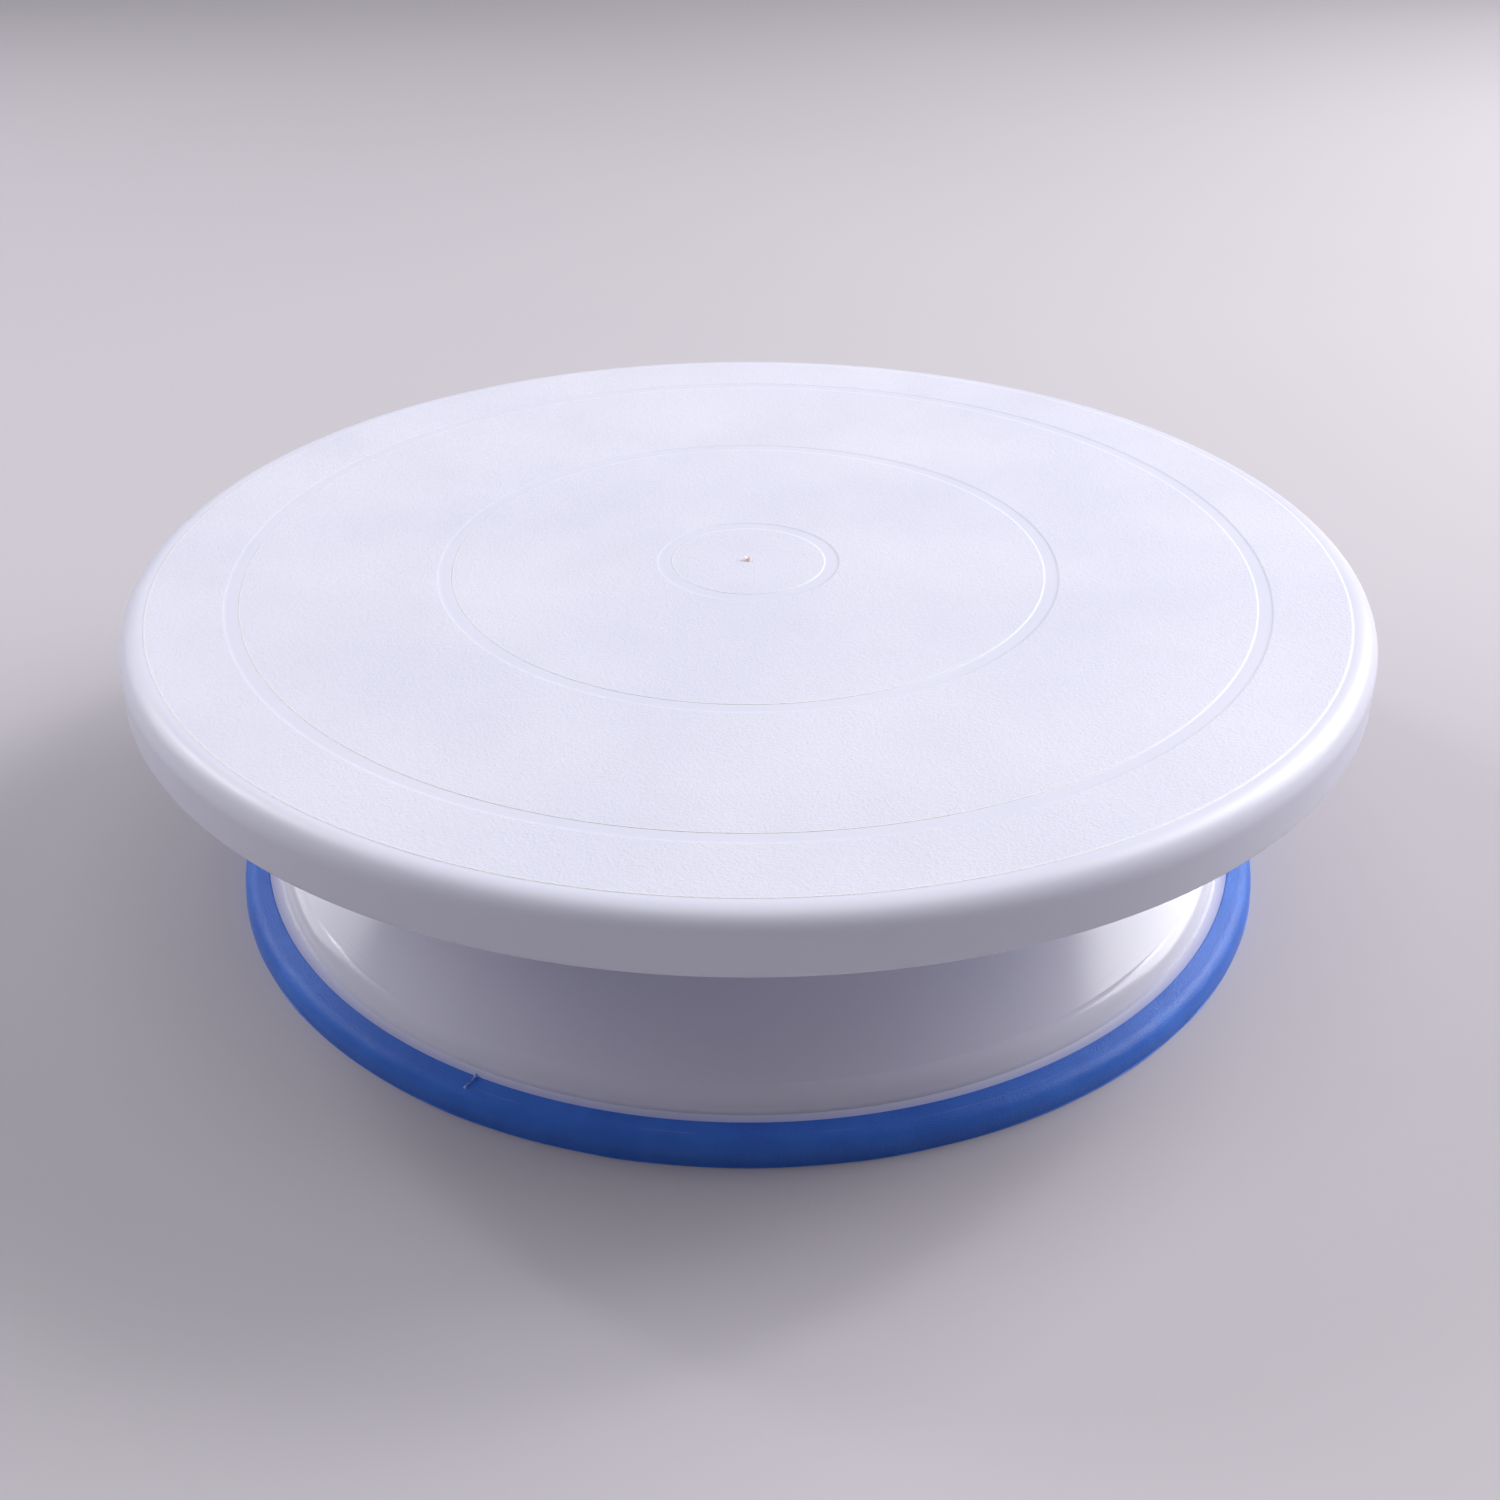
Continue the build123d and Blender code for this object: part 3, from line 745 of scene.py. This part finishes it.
def make_base(material):
    """The base moulding: a flared wall, deck, hub and foot flange, with ribs inside."""
    base = lathe("base_moulding", base_outline())
    combine(base, fins("base_ribs", base_rib_rows(), BASE_RIB_COUNT, start=30.0), "UNION")
    marks = ejector_marks(BASE_RIB_COUNT, DECK_MARK_RADII, DECK - BASE_WALL)
    combine(base, marks, "DIFFERENCE")
    return add_piece(base, "base", material, "base_plastic", "base_shell")


# ---- foot ring ---------------------------------------------------------------
def ring_outline():
    """Section of the ring, from its inner edge out under the grooves and back over the top."""
    corners = [(RING_INNER_R, 0.0, 0.4)]
    for groove in GROOVE_RADII:
        corners += [
            (groove, 0.0, 0.15),
            (groove + GROOVE_FLOOR[0], GROOVE_DEPTH, 0.25),
            (groove + GROOVE_FLOOR[1], GROOVE_DEPTH, 0.25),
            (groove + GROOVE_WIDTH, 0.0, 0.15),
        ]
    flash_bottom, flash_top = FLASH
    corners += [
        (RING_R - 0.05, 0.0),
        (RING_R + 0.12, flash_bottom),
        (RING_R + 0.12, flash_top),
        (RING_R, 0.26),
        (RING_R, RING_CORNER_HEIGHT, RING_ROUNDING),
        (*RING_LIP, 0.2),
        (RING_LIP[0] - 0.01, TONGUE_TOP),
        (TONGUE_R + PRESS_GAP, TONGUE_TOP),
        (TONGUE_R + PRESS_GAP, WEB_TOP),
        (RING_INNER_R, WEB_TOP, 0.6),
    ]
    return rounded(corners)


def make_ring(material):
    """The soft ring, with a thin moulding flash that comes and goes round its lower edge."""
    ring = lathe("foot_ring", ring_outline())
    flash_start = (RING_R + 0.05) * MM
    for vertex in ring.data.vertices:
        radius = math.hypot(vertex.co.x, vertex.co.y)
        if radius > flash_start:
            swell = noise.noise(Vector((vertex.co.x, vertex.co.y, 0.0)) * 60)
            wanted = (RING_R + 0.16 + 0.22 * swell) * MM
            vertex.co.x *= wanted / radius
            vertex.co.y *= wanted / radius
    return add_piece(ring, "base", material, "foot_rubber", "anti_slip_ring")


def make_burr(material):
    """A shred of flash that lies across the ring's top at the front left."""
    mesh = bmesh.new()
    angle = math.radians(-118.2)
    out = Vector((math.cos(angle), math.sin(angle), 0))
    side = Vector((-out.y, out.x, 0))
    # Each row is (radius, height, half width).
    route = [
        (116.0, 6.85, 0.55),
        (116.9, 6.75, 0.30),
        (117.8, 6.45, 0.20),
        (118.7, 6.1, 0.26),
        (119.6, 5.6, 0.5),
    ]
    rows = []
    for i, (radius, height, half) in enumerate(route):
        wander = 0.35 * math.sin(1.3 * i)
        middle = out * radius + side * wander + Vector((0, 0, height))
        row = []
        for across, lift in ((-half, -0.10), (0.0, 0.16), (half, -0.10), (0.0, -0.22)):
            row.append(mesh.verts.new((middle + side * across + Vector((0, 0, lift))) * MM))
        rows.append(row)
    bridge(mesh, rows)
    mesh.faces.new(rows[-1])
    bmesh.ops.subdivide_edges(mesh, edges=mesh.edges[:], cuts=1, use_grid_fill=True, smooth=0.6)
    return add_piece(as_object(mesh, "ring_burr"), "base", material, "foot_rubber")


# ---- studio ------------------------------------------------------------------
# Metres.
FLOOR_RADIUS = 1.7
# How brightly the empty space shines on the turntable, and how brightly it is seen.
AMBIENT = 0.15
BACKDROP = 0.80


def make_floor():
    """Round pale floor with a faint unevenness in tone."""
    mesh = bmesh.new()
    bmesh.ops.create_circle(mesh, cap_ends=True, segments=96, radius=FLOOR_RADIUS)
    floor = as_object(mesh, "floor")
    s = Shader("floor_paper", Roughness=0.85)
    tone = s.noise(0.35, detail=3.0)
    s.set("Base Color", s.mix(tone, (0.530, 0.502, 0.540, 1), (0.570, 0.542, 0.575, 1)))
    s.relief((s.noise(0.002), 0.000015))
    floor.data.materials.append(s.material)


def softbox(name, place, aim, size, power, colour, reflected=True):
    """Rectangular light, never seen directly. One that isn't reflected leaves no highlight."""
    lamp = bpy.data.lights.new(name, "AREA")
    lamp.shape = "RECTANGLE"
    lamp.size, lamp.size_y = size
    lamp.energy = power
    lamp.color = colour
    holder = bpy.data.objects.new(name, lamp)
    holder.location = place
    holder.visible_camera = False
    holder.visible_glossy = reflected
    holder.rotation_mode = "QUATERNION"
    direction = Vector(aim) - Vector(place)
    holder.rotation_quaternion = direction.to_track_quat("-Z", "Y")
    bpy.context.scene.collection.objects.link(holder)


def make_lights():
    """Studio light: each side has a softbox and a narrow strip behind it and a light beside it.

    One light is overhead and a weak one is in front."""
    aim = (0.0, 0.0, 0.05)
    softbox("key_right", (1.12, 0.58, 0.86), aim, (0.95, 1.1), 20.0, (1.0, 0.99, 1.0))
    softbox("strip_right", (1.00, 0.52, 1.06), aim, (0.14, 0.40), 3.4, (1.0, 0.99, 1.0))
    softbox("key_left", (-1.10, 0.62, 0.80), aim, (0.6, 1.0), 5.6, (0.97, 0.97, 1.0))
    softbox("strip_left", (-0.95, 0.60, 1.05), aim, (0.10, 0.40), 2.4, (0.97, 0.97, 1.0))
    softbox("side_right", (1.30, -0.05, 0.92), aim, (0.9, 0.6), 3.0, (1.0, 0.98, 1.0), False)
    softbox("side_left", (-1.28, -0.15, 0.92), aim, (0.9, 0.6), 4.2, (0.98, 0.97, 1.0), False)
    softbox("overhead", (0.0, -0.05, 1.55), aim, (1.0, 1.0), 4.4, (0.95, 0.98, 1.0))
    softbox("front_fill", (0.0, -1.35, 1.02), aim, (1.6, 0.5), 0.45, (1.0, 0.94, 1.0))


def make_world():
    """Weak ambient light. The empty space behind the floor is seen paler than it shines."""
    world = bpy.data.worlds.new("studio")
    world.use_nodes = True
    tree = world.node_tree
    background = tree.nodes["Background"]
    background.inputs["Color"].default_value = (0.62, 0.58, 0.66, 1)
    strength = tree.nodes.new("ShaderNodeMapRange")
    strength.inputs["To Min"].default_value = AMBIENT
    strength.inputs["To Max"].default_value = BACKDROP
    seen = tree.nodes.new("ShaderNodeLightPath").outputs["Is Camera Ray"]
    tree.links.new(seen, strength.inputs["Value"])
    tree.links.new(strength.outputs["Result"], background.inputs["Strength"])
    bpy.context.scene.world = world
    bpy.context.scene.view_settings.view_transform = "Standard"


def make_camera():
    """About 31 degrees above the horizon, close in front of the plate."""
    elevation = 30.786
    data = bpy.data.cameras.new("camera")
    data.sensor_width = 36.0
    data.lens = 45.46
    data.shift_x = 0.0012
    data.clip_start = 0.02
    camera = bpy.data.objects.new("camera", data)
    camera.location = (0.0, -0.3965, 0.2580)
    camera.rotation_euler = (math.radians(90 - elevation), 0, 0)
    bpy.context.scene.collection.objects.link(camera)
    bpy.context.scene.camera = camera


# ---- build -------------------------------------------------------------------
white = plate_plastic()
glossy = base_plastic()
blue = foot_rubber()
make_plate(white)
make_gate(gate_plastic())
make_base(glossy)
make_ring(blue)
make_burr(flash_rubber())

plated = turned_steel("plated_steel", (0.60, 0.61, 0.62), 0.30)
race_steel = turned_steel("race_steel", (0.52, 0.53, 0.54), 0.15)
polymer = nylon()
carried = {
    "spindle": plated,
    "retaining_washer": plated,
    "retaining_screw": plated,
    "upper_race": race_steel,
    "lower_race": race_steel,
    "thrust_washer": polymer,
    "upper_bush": polymer,
    "lower_bush": polymer,
    "ball_cage": polymer,
    "hub_cap": glossy,
}
ball_finish = ball_steel()
for name in frame["nodes"]:
    if name.startswith("ball_") and name != "ball_cage":
        carried[name] = ball_finish
for name, material in carried.items():
    for holder in frame["nodes"][name].material_slots:
        holder.material = material

make_floor()
make_lights()
make_world()
make_camera()
